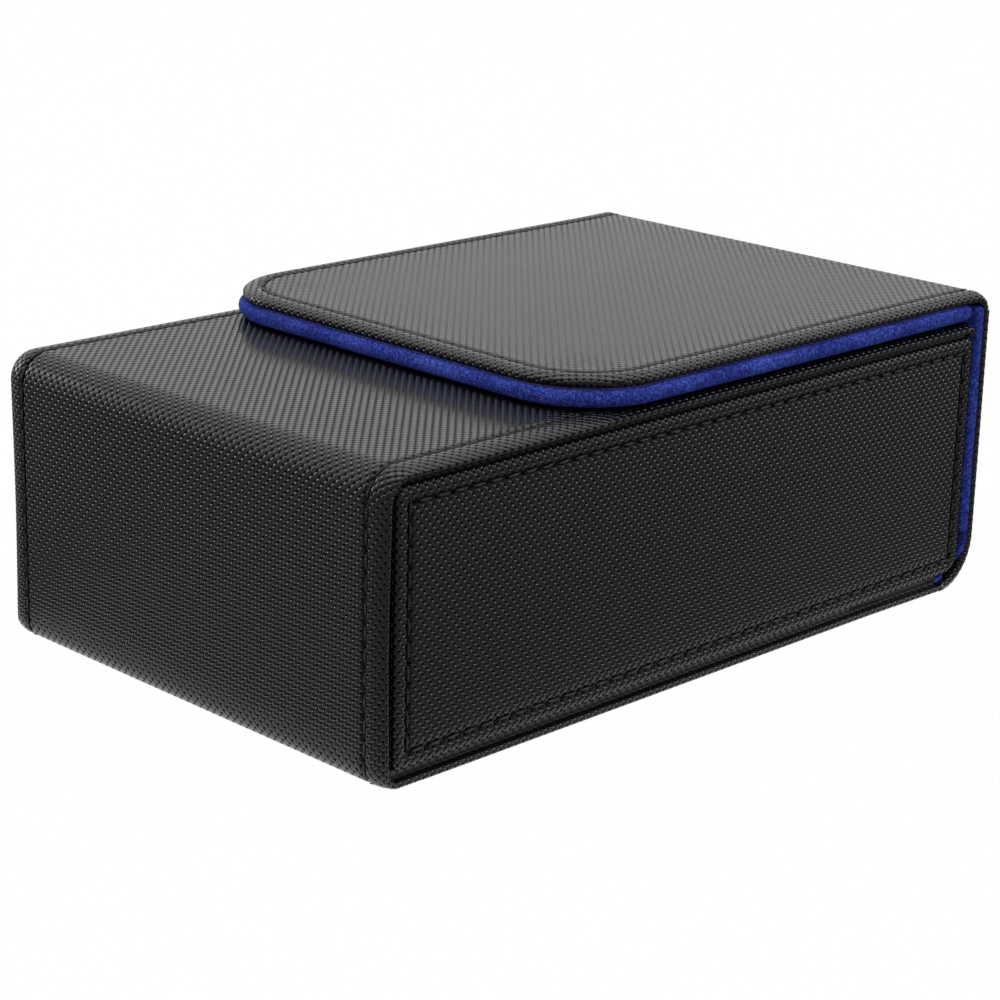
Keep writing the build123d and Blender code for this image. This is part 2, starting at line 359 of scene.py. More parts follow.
def layGrid(name, aLines, bLines, shape, relief=0.0, depth=0.0):
    # a flat grid whose points shape() carries to their places on the piece, with their lay for the grain
    deselectAll()
    bpy.ops.mesh.primitive_grid_add(x_subdivisions=len(aLines) - 1, y_subdivisions=len(bLines) - 1, size=2)
    sheet = bpy.context.object
    sheet.name = sheet.data.name = name
    flat = np.empty(len(sheet.data.vertices) * 3)
    sheet.data.vertices.foreach_get("co", flat)
    flat = (flat.reshape(-1, 3) + 1) / 2
    a = np.asarray(aLines)[np.rint(flat[:, 0] * (len(aLines) - 1)).astype(int)]
    b = np.asarray(bLines)[np.rint(flat[:, 1] * (len(bLines) - 1)).astype(int)]
    points, normals, lay, dip, *drawn = shape(a, b)
    lift = relief * (buttons(lay) - grain["level"]) - dip - depth
    points = (points + normals * lift[:, None]) * mm
    sheet.data.vertices.foreach_set("co", points.ravel())
    mark = sheet.data.attributes.new("grain", "FLOAT_VECTOR", "POINT")
    furrow = clamp(grain["furrowShade"] * dip)
    mark.data.foreach_set("vector", np.stack([*lay, furrow], -1).ravel().astype(np.float32))
    for values in drawn:
        mark = sheet.data.attributes.new("drawn", "FLOAT", "POINT")
        mark.data.foreach_set("value", values.astype(np.float32))
    sheet.data.update()
    return sheet


def pick(*pieces):
    deselectAll()
    for piece in pieces:
        piece.select_set(True)
    bpy.context.view_layer.objects.active = pieces[0]


def selectBorder():
    bpy.ops.object.mode_set(mode="EDIT")
    bpy.ops.mesh.select_mode(type="EDGE")
    bpy.ops.mesh.select_all(action="DESELECT")
    bpy.ops.mesh.select_non_manifold(extend=False, use_wire=False, use_boundary=True,
                                     use_multi_face=False, use_non_contiguous=False, use_verts=False)


def volume(piece):
    mesh = piece.data
    mesh.calc_loop_triangles()
    points, corners = np.empty(len(mesh.vertices) * 3), np.empty(len(mesh.loop_triangles) * 3, np.int32)
    mesh.vertices.foreach_get("co", points)
    mesh.loop_triangles.foreach_get("vertices", corners)
    a, b, c = points.reshape(-1, 3)[corners.reshape(-1, 3)].transpose(1, 0, 2)
    return (a * np.cross(b, c)).sum() / 6


def faceOutwards(piece, sharp):
    bpy.ops.mesh.select_all(action="SELECT")
    bpy.ops.mesh.normals_make_consistent(inside=False)
    bpy.ops.object.mode_set(mode="OBJECT")
    if volume(piece) < 0:  # a thin bent shell can come out inside out
        bpy.ops.object.mode_set(mode="EDIT")
        bpy.ops.mesh.flip_normals()
        bpy.ops.object.mode_set(mode="OBJECT")
    bpy.ops.object.shade_smooth_by_angle(angle=math.radians(sharp))
    return piece


def closeSheet(outer, inner, sharp=50):
    # joins a face to its plain back along their borders
    pick(outer, inner)
    bpy.ops.object.join()
    selectBorder()
    bpy.ops.mesh.bridge_edge_loops()
    return faceOutwards(outer, sharp)


def capBack(piece, sharp=60):
    # closes the open back of a pad with a fan of faces
    pick(piece)
    selectBorder()
    bpy.ops.mesh.edge_face_add()
    bpy.ops.mesh.poke()
    return faceOutwards(piece, sharp)


def borderLines(field, edge):
    # grid lines across a strip: coarse in its field, fine from its seams to its edges
    border = spread(field, edge, fine)[1:]
    return np.concatenate([-border[::-1], spread(-field, field, coarse), border])


def plainBack(carry):
    # the bare back of a sheet that follows a profile
    def shape(s, y):
        points, normals = carry(s, y, 0 * y, (0 * y, 0 * y, 1 + 0 * y))
        return points, normals, (s, y), 0 * y
    return shape


def strip(half):
    # box and corner radii of an endless strip
    return (-endless, endless, -half, half), [[1.0, 1.0], [1.0, 1.0]]


def seam(distance, depth, width):
    # the furrow that a row of stitches pulls into the sheet
    return depth * np.exp(-(distance / width) ** 2)


def finishPiece(piece, material, nodes, body=None, blend=None):
    piece.data.materials.clear()
    piece.data.materials.append(material)
    if nodes:
        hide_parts(*nodes)
    if blend:
        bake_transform(piece)
    else:
        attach(piece, body)
    print("made", piece.name, len(piece.data.polygons), "faces")
    return piece


def easedTurn(look):
    # runs of a border that eases down past its seam and then turns under, and how far out they reach
    lean, easy = math.radians(look["lean"]), look["easyRadius"]
    tight = (look["fall"] - easy * (1 - math.cos(lean))) / math.cos(lean)
    runs = [(easy * lean, -easy), ((quarter - lean) * tight, -tight)]
    return runs, easy * math.sin(lean) + tight * (1 - math.sin(lean))


lowerBlend = {"from": "body", "to": "end_leaf", "start": (0.0615, 0, 0), "end": (0.0705, 0, 0.009)}
upperBlend = {"from": "end_leaf", "to": "flap", "start": (0.0705, 0, 0.0492), "end": (0.067, 0, 0.0527)}


# sleeve: one strip over the top, the closed end and the underside, rolled over at both rims

sleeve = {"endTopRadius": 5.0, "endBottomRadius": 3.0, "lipRadius": 0.8, "lipDepth": 2.1,
          "lean": 24.0, "easyRadius": 8.5, "fall": 1.0,  # the border past the seam, lean in degrees
          "rimRoll": 0.65, "hem": 1.8, "hemTurn": 0.3, "hemDrop": 0.72,
          "seamInset": 4.5, "seamDepth": 0.3, "seamWidth": 0.45, "seamBand": 1.2,
          "pull": 0.9, "slack": 0.45, "slackFrom": 36.0, "bulge": 0.25, "endReach": 17.0, "heldReach": 20.0,
          "flatten": 0.5, "fineFrom": -26.0, "fineOver": 4.0, "backInset": 3.3, "backDepth": 0.7}


def sleevePath():
    top = case["mouthX"] - sleeve["lipRadius"] - (case["endX"] + sleeve["endTopRadius"])
    end = case["bodyTop"] - sleeve["endTopRadius"] - sleeve["endBottomRadius"]
    under = case["bendX"] - case["endX"] - sleeve["endBottomRadius"]
    runs = [(sleeve["lipDepth"] - sleeve["lipRadius"], 0), (quarter * sleeve["lipRadius"], sleeve["lipRadius"]),
            (top, 0), (quarter * sleeve["endTopRadius"], sleeve["endTopRadius"]), (end, 0),
            (quarter * sleeve["endBottomRadius"], sleeve["endBottomRadius"]), (under, 0)]
    path = tracePath((case["mouthX"], case["bodyTop"] - sleeve["lipDepth"]), quarter, runs)
    return path, np.cumsum([0] + [length for length, radius in runs])


def makeSleeve():
    path, marks = sleevePath()
    roll, rim = sleeve["rimRoll"], case["rimY"]
    easy, lean = sleeve["easyRadius"], math.radians(sleeve["lean"])
    turn, reach = easedTurn(sleeve)
    hem, hemTurn, hemDrop = sleeve["hem"], sleeve["hemTurn"], sleeve["hemDrop"]
    outward = turn + [(quarter * roll, -roll), (hem - roll - hemTurn, 0), (quarter * hemTurn, hemTurn), (hemDrop, 0)]
    across = tracePath((-rim + hem, -sleeve["fall"] - roll - hemTurn - hemDrop), quarter,
                       outward[::-1] + [(2 * (rim - reach), 0)] + outward)
    carry = onPath(path, -1)
    endMid, edgeT, seamT = (marks[4] + marks[5]) / 2, across.length / 2, rim - sleeve["seamInset"]
    hemT = edgeT - sum(length for length, radius in outward[2:])

    def shape(s, t):
        y, n, turned = across(t + edgeT)
        aside = np.abs(t)
        # the rims keep their full width at both ends, lean in between and are pulled in at the closed end
        atEnd = np.exp(-((s - endMid) / sleeve["endReach"]) ** 2)
        held = clamp((s - marks[1]) / sleeve["heldReach"]) * clamp((path.length - s) / sleeve["heldReach"])
        pull = sleeve["slack"] * held + (sleeve["pull"] - sleeve["slack"]) * atEnd
        y = y * (1 - pull / rim * clamp((np.abs(y) - sleeve["slackFrom"]) / (rim - sleeve["slackFrom"])) ** 2)
        n = n + sleeve["bulge"] * atEnd * (1 - (y / rim) ** 2)
        # the case's weight flattens the underside's rims
        eased = easy * (1 - np.cos(np.clip((aside - rim + reach) / easy, 0, lean)))
        under = clamp((s - marks[5]) / (marks[6] - marks[5])) * clamp((edgeT - aside) / hemDrop)
        n = n + sleeve["flatten"] * eased * under
        points, normals = carry(s, y, n, (0 * y, -np.sin(turned), np.cos(turned)))
        dip = seam(aside - seamT, sleeve["seamDepth"], sleeve["seamWidth"])
        # the turned hem is pressed smooth
        lay = (s - path.length - case["bendPhase"], t)
        drawn = clamp((aside - hemT) / (quarter * roll))
        return points, normals, lay, dip + grain["relief"] * (buttons(lay) - grain["level"]) * drawn, drawn

    tLines = borderLines(seamT - sleeve["seamBand"], edgeT)
    fineStart = marks[2] + (case["mouthX"] - sleeve["lipRadius"] - sleeve["fineFrom"])
    fineEnd = marks[6] + sleeve["fineOver"]
    sLines = np.concatenate([spread(0, marks[2], fine)[:-1], spread(marks[2], fineStart, coarse)[:-1],
                             spread(fineStart, fineEnd, fine)[:-1], spread(fineEnd, path.length, coarse)])
    outer = layGrid("sleeveWrap", sLines, tLines, shape, relief=grain["relief"])
    bends = [spread(marks[k], marks[k + 1], bendStep) for k in (1, 3, 5)]
    backS, backHalf = np.concatenate([[0.0], *bends, [path.length]]), rim - sleeve["backInset"]
    inner = layGrid("sleeveBack", backS, spread(-backHalf, backHalf, backStep), plainBack(carry),
                    depth=sleeve["backDepth"])
    return closeSheet(outer, inner)


finishPiece(makeSleeve(), leather, ["sleeve_skin"], body="body")


# side panels: board wrapped in leatherette, sewn round the border, set in behind the rims

panel = {"box": (-67.9, 66.9, 2.6, 45.0), "radii": [[1.2, 1.2], [3.2, 1.2]], "outY": 44.0, "edgeRadius": 0.95,
         "edgeDrop": 1.5, "seamInset": 2.6, "seamDepth": 0.34, "seamWidth": 0.5, "puff": 0.12,
         "seamHeel": 0.9, "seamCorner": 0.5, "backRadii": [[0.4, 0.4], [2.4, 0.4]], "backSteps": (8.0, 4.0)}


def panelShape(side):
    rim = panel["edgeRadius"]
    edge = tracePath((0, 0), 0, [(quarter * rim, -rim), (panel["edgeDrop"], 0)])

    def shape(p, q):
        laid = turnEdges(p, q, panel["box"], panel["radii"], edge, rim)
        points = np.stack([laid["p"], side * (panel["outY"] + laid["n"]), laid["q"]], -1)
        along, up, out = laid["normal"]
        normals = np.stack([along, side * out, up], -1)
        toSeam = laid["inside"] - panel["seamInset"]
        dip = seam(toSeam, panel["seamDepth"], panel["seamWidth"])
        dip = dip - panel["puff"] * clamp(-toSeam / panel["seamInset"]) * (laid["inside"] > 0)
        return points, normals, laid["lay"], dip

    return shape, edge.length - rim


def makePanel(name, side):
    shape, over = panelShape(side)
    p0, p1, q0, q1 = panel["box"]
    outer = layGrid(name, spread(p0 - over, p1 + over, fine), spread(q0 - over, q1 + over, fine), shape,
                    relief=grain["relief"])
    skin = case["skin"]

    def backShape(p, q):
        inset = (p0 + skin, p1 - skin, q0 + skin, q1 - skin)
        inner = turnEdges(p, q, inset, panel["backRadii"], flatEdge, 0.0)
        flat = 0 * p
        points = np.stack([inner["p"], flat + side * (panel["outY"] - skin), inner["q"]], -1)
        normals = np.stack([flat, flat + side, flat], -1)
        return points, normals, inner["lay"], flat

    stepP, stepQ = panel["backSteps"]
    inner = layGrid(name + "Back", spread(p0 + skin, p1 - skin, stepP), spread(q0 + skin, q1 - skin, stepQ), backShape)
    return closeSheet(outer, inner)


for name, side, node in (("nearPanel", -1, "near_panel_skin"), ("farPanel", 1, "far_panel_skin")):
    finishPiece(makePanel(name, side), leather, [node], body="body")


# cover: the soft bend and the end leaf, then the fold and the flap, all one strip of leatherette

endLeaf = {"half": 44.5, "lean": 14.0, "easyRadius": 4.0, "fall": 0.63, "edgeDrop": 0.1, "rimRoll": 0.75, "hem": 2.0,
           "seamInset": 3.3, "seamDepth": 0.24, "seamWidth": 0.5, "seamBand": 1.2}
flap = {"front": -30.3, "half": 43.9, "cornerRadius": 15.0, "tailRadius": 1.2,
        "lean": 25.0, "easyRadius": 5.0, "fall": 0.95, "edgeDrop": 0.05, "rimRoll": 0.95, "hem": 1.6,
        "seamInset": 3.3, "seamDepth": 0.26, "seamWidth": 0.5, "puff": 0.1, "relief": 0.07,
        "drawnFrom": 14.0, "widenFrom": 8.0, "lead": 20.0, "backStep": 3.0, "foldStep": 0.6}


def rolledEdge(look):
    # the eased border, then a roll and a hem glued down inside
    roll = look["rimRoll"]
    eased, reach = easedTurn(look)
    return tracePath((0, 0), 0, eased + [(look["edgeDrop"], 0), (quarter * roll, -roll), (look["hem"], 0)]), reach


def leafPath():
    bend = case["bendRadius"]
    return tracePath((case["bendX"], 0), 0, [(quarter * bend, bend), (case["foldZ"] - bend, 0)])


def makeEndLeaf():
    path, bendLength = leafPath(), quarter * case["bendRadius"]
    carry = onPath(path, -1)
    edge, reach = rolledEdge(endLeaf)
    wide = case["rimY"] - endLeaf["half"]

    def shape(s, y):
        ease = clamp(1 - s / bendLength)
        laid = turnEdges(s, y, *strip(endLeaf["half"]), edge, reach)
        sideways = laid["q"] * (1 + wide * ease * ease / endLeaf["half"])  # as wide as the sleeve where they join
        points, normals = carry(s, sideways, laid["n"], laid["normal"])
        dip = seam(laid["inside"] - endLeaf["seamInset"], endLeaf["seamDepth"], endLeaf["seamWidth"])
        return points, normals, (case["bendPhase"] - s, laid["lay"][1]), dip

    seamY = endLeaf["half"] - endLeaf["seamInset"]
    yLines = borderLines(seamY - endLeaf["seamBand"], endLeaf["half"] + edge.length - reach)
    outer = layGrid("endLeafWrap", spread(0, path.length, coarse), yLines, shape, relief=grain["relief"])
    backHalf = endLeaf["half"] - endLeaf["hem"]
    backS = np.concatenate([spread(0, bendLength, bendStep), [path.length]])
    inner = layGrid("endLeafBack", backS, spread(-backHalf, backHalf, backStep), plainBack(carry), depth=case["skin"])
    return closeSheet(outer, inner)


def coverPath():
    fold = case["foldRadius"]
    start = flap["front"] - flap["lead"]
    return start, tracePath((start, case["flapTop"]), 0, [(case["foldX"] - start, 0), (quarter * fold, -fold)])


def makeFlap():
    start, path = coverPath()
    carry = onPath(path, 1)
    edge, reach = rolledEdge(flap)
    over = edge.length - reach
    tail = case["foldX"] + quarter * case["foldRadius"]
    widenX = case["foldX"] - flap["widenFrom"]

    def outline(inset):
        box = (flap["front"] + inset, endless, -flap["half"] + inset, flap["half"] - inset)
        return box, [[flap["cornerRadius"] - inset] * 2, [flap["tailRadius"]] * 2]

    def shape(p, q):
        laid = turnEdges(p, q, *outline(0), edge, reach)
        toLeaf = clamp((p - widenX) / (tail - widenX))  # widens to the end leaf's width at the fold
        widen = 1 + (endLeaf["half"] / flap["half"] - 1) * toLeaf * toLeaf * (3 - 2 * toLeaf)
        points, normals = carry(laid["p"] - start, laid["q"] * widen, laid["n"], laid["normal"])
        toSeam = laid["inside"] - flap["seamInset"]
        dip = seam(toSeam, flap["seamDepth"], flap["seamWidth"])
        dip = dip - flap["puff"] * np.sin(math.pi * clamp(-toSeam / flap["seamInset"]))
        drawn = clamp(toSeam / flap["drawnFrom"]) * clamp((case["foldX"] - p) / flap["drawnFrom"])
        return points, normals, laid["lay"], dip, drawn ** 0.5  # the skin is drawn flat over the flap's foam

    outer = layGrid("flapWrap", spread(flap["front"] - over, tail, fine),
                    spread(-flap["half"] - over, flap["half"] + over, fine), shape, relief=flap["relief"])
    inset = flap["hem"]

    def backShape(p, q):
        laid = turnEdges(p, q, *outline(inset), flatEdge, 0.0)
        points, normals = carry(laid["p"] - start, laid["q"], 0 * p, (0 * p, 0 * p, 1 + 0 * p))
        return points, normals, laid["lay"], 0 * p

    backHalf, step = flap["half"] - inset, flap["backStep"]
    backP = np.concatenate([spread(flap["front"] + inset, case["foldX"], step)[:-1],
                            spread(case["foldX"], tail, flap["foldStep"])])
    inner = layGrid("flapBack", backP, spread(-backHalf, backHalf, step), backShape, depth=case["skin"])
    return closeSheet(outer, inner)


endLeafWrap = finishPiece(makeEndLeaf(), leather, ["lower_hinge_skin", "end_leaf_skin"], blend=lowerBlend)
finishPiece(makeFlap(), leather, ["upper_hinge_skin", "flap_skin"], blend=upperBlend)


# pads: foam under blue microfibre, full at the edge and soft to the touch

pads = {"step": 0.55, "crownReach": 12.0, "waves": ((0.31, 0.17), (-0.11, 0.23))}
flapPad = {"box": (-31.0, 66.1, -44.6, 44.6), "radii": [[15.7, 15.7], [2.0, 2.0]], "low": 47.9, "lowRoll": 1.6,
           "drop": 0.1, "highRoll": 1.1, "turnIn": 3.0, "crown": 0.06, "wave": 0.12}
endPad = {"box": (-44.6, 44.6, 9.4, 50.2), "radii": [[0.9, 0.9], [0.9, 0.9]], "face": 67.0, "lowRoll": 0.8,
          "drop": 0.3, "highRoll": 0.8, "turnIn": 2.5, "crown": 0.05, "wave": 0.1}


def makePad(name, look, toWorld):
    roll = look["lowRoll"]
    edge = tracePath((0, 0), 0, [(quarter * roll, -roll), (look["drop"], 0),
                                 (quarter * look["highRoll"], -look["highRoll"]), (look["turnIn"], 0)])
    p0, p1, q0, q1 = look["box"]
    over = edge.length - roll

    def shape(p, q):
        laid = turnEdges(p, q, look["box"], look["radii"], edge, roll)
        points, normals = toWorld(laid)
        along, across = laid["lay"]
        # slow waves keep the pad's side from being ruled straight, and its face swells from the edge inwards
        soft = look["wave"] * np.prod([np.sin(u * along + v * across) for u, v in pads["waves"]], axis=0)
        side = clamp(1 - np.abs(laid["normal"][2]))
        swell = look["crown"] * clamp(laid["inside"] / pads["crownReach"])
        return points, normals, laid["lay"], -soft * side - swell

    step = pads["step"]
    return capBack(layGrid(name, spread(p0 - over, p1 + over, step), spread(q0 - over, q1 + over, step), shape))


def underFlap(laid):
    along, across, out = laid["normal"]
    return (np.stack([laid["p"], laid["q"], flapPad["low"] - laid["n"]], -1), np.stack([along, across, -out], -1))


def insideLeaf(laid):
    across, up, out = laid["normal"]
    return (np.stack([endPad["face"] - laid["n"], laid["p"], laid["q"]], -1), np.stack([-out, across, up], -1))


flapCushion = finishPiece(makePad("flapCushion", flapPad, underFlap), microfibre,
                          ["flap_pad_cover", "flap_foam"], body="flap")
endCushion = finishPiece(makePad("endLeafCushion", endPad, insideLeaf), microfibre,
                         ["end_leaf_pad_cover", "end_leaf_foam"], body="end_leaf")


# linings: microfibre glued round the compartment and inside both folds

compartmentCloth = {"half": 42.5, "sheet": 0.45, "step": 1.6, "edgeRadius": 0.3, "drawIn": 0.0, "side": 1,
                    "cornerRadius": 1.2}
lowerCloth = {"half": 44.5, "sheet": 0.7, "step": 0.6, "edgeRadius": 0.35, "drawIn": 1.7, "side": 1,
              "inset": 1.9, "lead": 2.0, "rise": 0.7}
drawnIn = {"at": 0.47, "over": 0.15, "underside": 0.95, "leaf": 0.36}  # shares of the way and of drawIn
upperCloth = {"half": 43.5, "sheet": 0.38, "step": 0.3, "edgeRadius": 0.2, "drawIn": 0.0, "side": -1, "inset": 0.4}
panelCloth = {"sheet": 0.45, "edgeRadius": 0.3, "faceY": 41.0}


def makeLiner(name, path, look):
    # a strip of cloth on a bent profile, with softly rounded long edges
    carry, half, roll = onPath(path, look["side"]), look["half"], look["edgeRadius"]
    edge = tracePath((0, 0), 0, [(quarter * roll, -roll), (look["sheet"] - roll, 0)])
    bare = plainBack(carry)

    def narrowed(s):  # drawn in where the bend is tightest, at the underside and a little at the leaf
        way = s / path.length
        atBend = np.exp(-((way - drawnIn["at"]) / drawnIn["over"]) ** 2)
        drawn = atBend + drawnIn["underside"] * (1 - way) ** 2 + drawnIn["leaf"] * way ** 2
        return 1 - look["drawIn"] / half * drawn

    def shape(s, y):
        laid = turnEdges(s, y, *strip(half), edge, roll)
        points, normals = carry(s, laid["q"] * narrowed(s), laid["n"], laid["normal"])
        return points, normals, laid["lay"], 0 * s

    def backShape(s, y):
        return bare(s, y * narrowed(s))

    rimFrom, rimStep, backInset = half - 1.0, 0.12, 0.1
    sLines, border = spread(0, path.length, look["step"]), spread(rimFrom, half + edge.length - roll, rimStep)
    face = layGrid(name, sLines, np.concatenate([-border[::-1], border]), shape)
    backLines = np.array([backInset - half, 0.0, half - backInset])
    back = layGrid(name + "Back", sLines, backLines, backShape, depth=look["sheet"])
    return closeSheet(face, back, sharp=70)


def compartmentPath():
    inEnd, _, low, high = panel["box"]
    r = compartmentCloth["cornerRadius"]
    return tracePath((case["mouthX"], high), math.pi,
                     [(case["mouthX"] - inEnd - r, 0), (quarter * r, r), (high - low - 2 * r, 0),
                      (quarter * r, r), (case["bendX"] - inEnd - r, 0)])


def lowerPath():
    inset, lead = lowerCloth["inset"], lowerCloth["lead"]
    radius = case["bendRadius"] - inset
    return tracePath((case["bendX"] - lead, case["bendRadius"] - radius), 0,
                     [(lead, 0), (quarter * radius, radius), (lowerCloth["rise"], 0)])


def upperPath():
    radius = case["foldRadius"] - case["skin"] - upperCloth["inset"]
    return tracePath((case["foldX"], case["foldZ"] + radius), 0, [(quarter * radius, -radius)])


roundWalls, roundBend = compartmentPath(), lowerPath()
compartment = finishPiece(makeLiner("compartmentLiner", roundWalls, compartmentCloth), microfibre,
                          ["top_lining", "closed_end_lining", "bottom_lining"], body="body")
lowerFold = finishPiece(makeLiner("lowerFoldLiner", roundBend, lowerCloth), microfibre,
                        ["lower_hinge_lining"], blend=lowerBlend)
finishPiece(makeLiner("upperFoldLiner", upperPath(), upperCloth), microfibre,
            ["upper_hinge_lining"], blend=upperBlend)


def makePanelLiner(name, side):
    p0, p1, q0, q1 = panel["box"]
    roll, faceY = panelCloth["edgeRadius"], panelCloth["faceY"]
    edge = tracePath((0, 0), 0, [(quarter * roll, -roll), (panelCloth["sheet"] - roll, 0)])
    over = edge.length - roll

    def shape(p, q):
        laid = turnEdges(p, q, panel["box"], panel["radii"], edge, roll)
        points = np.stack([laid["p"], side * (faceY - laid["n"]), laid["q"]], -1)
        along, up, out = laid["normal"]
        return points, np.stack([along, -side * out, up], -1), laid["lay"], 0 * p

    def lines(*runs):  # closer towards the edges and the large corner
        return np.concatenate([spread(*run)[:-1] for run in runs] + [[runs[-1][1]]])

    band, corner, close, middling, wide = 1.2, 6.0, 0.3, 1.0, 4.0
    pLines = lines((p0 - over, p0 + band, close), (p0 + band, p1 - corner, wide),
                   (p1 - corner, p1 - band, middling), (p1 - band, p1 + over, close))
    qLines = lines((q0 - over, q0 + band, close), (q0 + band, q0 + corner, middling),
                   (q0 + corner, q1 - band, wide), (q1 - band, q1 + over, close))
    return capBack(layGrid(name, pLines, qLines, shape))


for name, side, node in (("nearLiner", -1, "near_panel"), ("farLiner", 1, "far_panel")):
    cloth = finishPiece(makePanelLiner(name, side), microfibre, [node + "_lining"], body="body")
    node + "_board"


# stitches: one modelled, the others copied along each seam

stitch = {"pitch": 3.5, "length": 2.75, "width": 0.5, "height": 0.4, "sink": 0.12, "dive": 0.16,
          "wobble": 0.05, "wobbleStep": 12.9898, "wobbleFrom": 1.7, "threadStep": 7.3}


def modelStitch():
    deselectAll()
    bpy.ops.mesh.primitive_uv_sphere_add(segments=8, ring_count=7, radius=0.5)
    one = bpy.context.object
    bpy.ops.object.mode_set(mode="EDIT")
    bpy.ops.mesh.select_all(action="SELECT")
    bpy.ops.transform.rotate(value=quarter, orient_axis="Y", center_override=(0, 0, 0))
    bpy.ops.transform.resize(value=(stitch["length"], stitch["width"], stitch["height"]))
    bpy.ops.object.mode_set(mode="OBJECT")
    points = np.array([v.co for v in one.data.vertices])
    points[:, 2] -= stitch["dive"] * (2 * points[:, 0] / stitch["length"]) ** 2  # the ends dive into their holes
    order = np.lexsort(np.round(points, 4).T)  # the sphere lists its points in another order each run
    rank = np.argsort(order).tolist()
    rings = [[rank[i] for i in face.vertices] for face in one.data.polygons]
    starts = [ring.index(min(ring)) for ring in rings]
    bpy.data.objects.remove(one)
    return points[order], sorted(tuple(ring[start:] + ring[:start]) for ring, start in zip(rings, starts))


stitchPoints, stitchFaces = modelStitch()


def sewSeams(name, seams):
    # seams: place, way and outward normal of each stitch
    points, faces, lay, count = [], [], [], 0
    for places, ways, normals in seams:
        sides = np.cross(normals, ways)
        for place, way, side, normal in zip(places, ways, sides, normals):
            # no two stitches lie quite alike
            turn = way + stitch["wobble"] * math.sin(stitch["wobbleStep"] * count + stitch["wobbleFrom"]) * side
            copy = (stitchPoints[:, :1] * turn + stitchPoints[:, 1:2] * side + stitchPoints[:, 2:] * normal) + place
            faces += [tuple(i + count * len(stitchPoints) for i in face) for face in stitchFaces]
            points.append(copy)
            lay.append(stitchPoints + (stitch["threadStep"] * count, 0, 0))  # each shows another stretch of the thread
            count += 1
    mesh = bpy.data.meshes.new(name)
    mesh.from_pydata((np.concatenate(points) * mm).tolist(), [], faces)
    mark = mesh.attributes.new("grain", "FLOAT_VECTOR", "POINT")
    mark.data.foreach_set("vector", np.concatenate(lay).ravel().astype(np.float32))
    rows = bpy.data.objects.new(name, mesh)
    bpy.context.scene.collection.objects.link(rows)
    pick(rows)
    bpy.ops.object.shade_smooth()
    return rows


def stitchSteps(length, lead=1.0):
    # middles of the stitches along a seam
    count = max(int((length - 2 * lead) / stitch["pitch"]), 1)
    return lead + (np.arange(count) + 0.5) * (length - 2 * lead) / count


def seamOnPath(path, y, low):
    s = low + stitchSteps(path.length - low)
    x, z, turned = path(s)
    normals = np.stack([np.sin(turned), 0 * s, -np.cos(turned)], -1)
    places = np.stack([x, y + 0 * s, z], -1) - normals * stitch["sink"]
    return places, np.stack([np.cos(turned), 0 * s, np.sin(turned)], -1), normals


def panelSeam(side):
    p0, p1, q0, q1 = panel["box"]
    inset, heel, corner = panel["seamInset"], panel["seamHeel"], panel["seamCorner"]
    p0, p1, q0, q1 = p0 + inset, p1 - inset, q0 + inset, q1 - inset
    loop = tracePath((p0 + corner, q0), 0,
                     [(p1 - p0 - corner - heel, 0), (quarter * heel, heel), (q1 - q0 - corner - heel, 0),
                      (quarter * corner, corner), (p1 - p0 - 2 * corner, 0), (quarter * corner, corner),
                      (q1 - q0 - 2 * corner, 0), (quarter * corner, corner)])
    p, q, turned = loop(stitchSteps(loop.length, 0.0))
    normals = np.stack([0 * p, side + 0 * p, 0 * p], -1)
    places = np.stack([p, side * (panel["outY"] - stitch["sink"]) + 0 * p, q], -1)
    return places, np.stack([np.cos(turned), 0 * p, np.sin(turned)], -1), normals


def flapSeam():
    start, path = coverPath()
    inset, radius = flap["seamInset"], flap["cornerRadius"] - flap["seamInset"]
    half, front = flap["half"] - inset, flap["front"] + inset
    tail = case["foldX"] + quarter * case["foldRadius"]
    loop = tracePath((tail, -half), math.pi,
                     [(tail - front - radius, 0), (quarter * radius, -radius), (2 * (half - radius), 0),
                      (quarter * radius, -radius), (tail - front - radius, 0)])
    p, q, way = loop(stitchSteps(loop.length, 0.0))
    x, z, turned = path(p - start)
    normals = np.stack([-np.sin(turned), 0 * p, np.cos(turned)], -1)
    ways = np.stack([np.cos(way) * np.cos(turned), np.sin(way), np.cos(way) * np.sin(turned)], -1)
    return np.stack([x, q, z], -1) - normals * stitch["sink"], ways, normals


def makeStitches():
    path, marks = sleevePath()
    y = case["rimY"] - sleeve["seamInset"]
    rows = [seamOnPath(path, sign * y, marks[2]) for sign in (-1, 1)]
    rows += [panelSeam(-1), panelSeam(1)]
    finishPiece(sewSeams("bodyStitches", rows), thread, [], body="body")
    y = endLeaf["half"] - endLeaf["seamInset"]
    rows = [seamOnPath(leafPath(), sign * y, 0) for sign in (-1, 1)]
    finishPiece(sewSeams("endLeafStitches", rows), thread, [], blend=lowerBlend)
    finishPiece(sewSeams("flapStitches", [flapSeam()]), thread, [], blend=upperBlend)


makeStitches()

# what stays hidden in the walls keeps its solid and gets its stuff
hidden = {greyBoard: ["top_board", "closed_end_board", "bottom_board", "near_panel_board", "far_panel_board",
                      "end_leaf_board", "flap_board"],
          plated: ["flap_magnets", "body_magnets"]}
for stuff, nodes in hidden.items():
    for node in nodes:
        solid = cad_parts[node]
        solid.data.materials.clear()
        solid.data.materials.append(stuff)
print("hidden pieces finished")


# studio: pale floor, white surround, soft lights

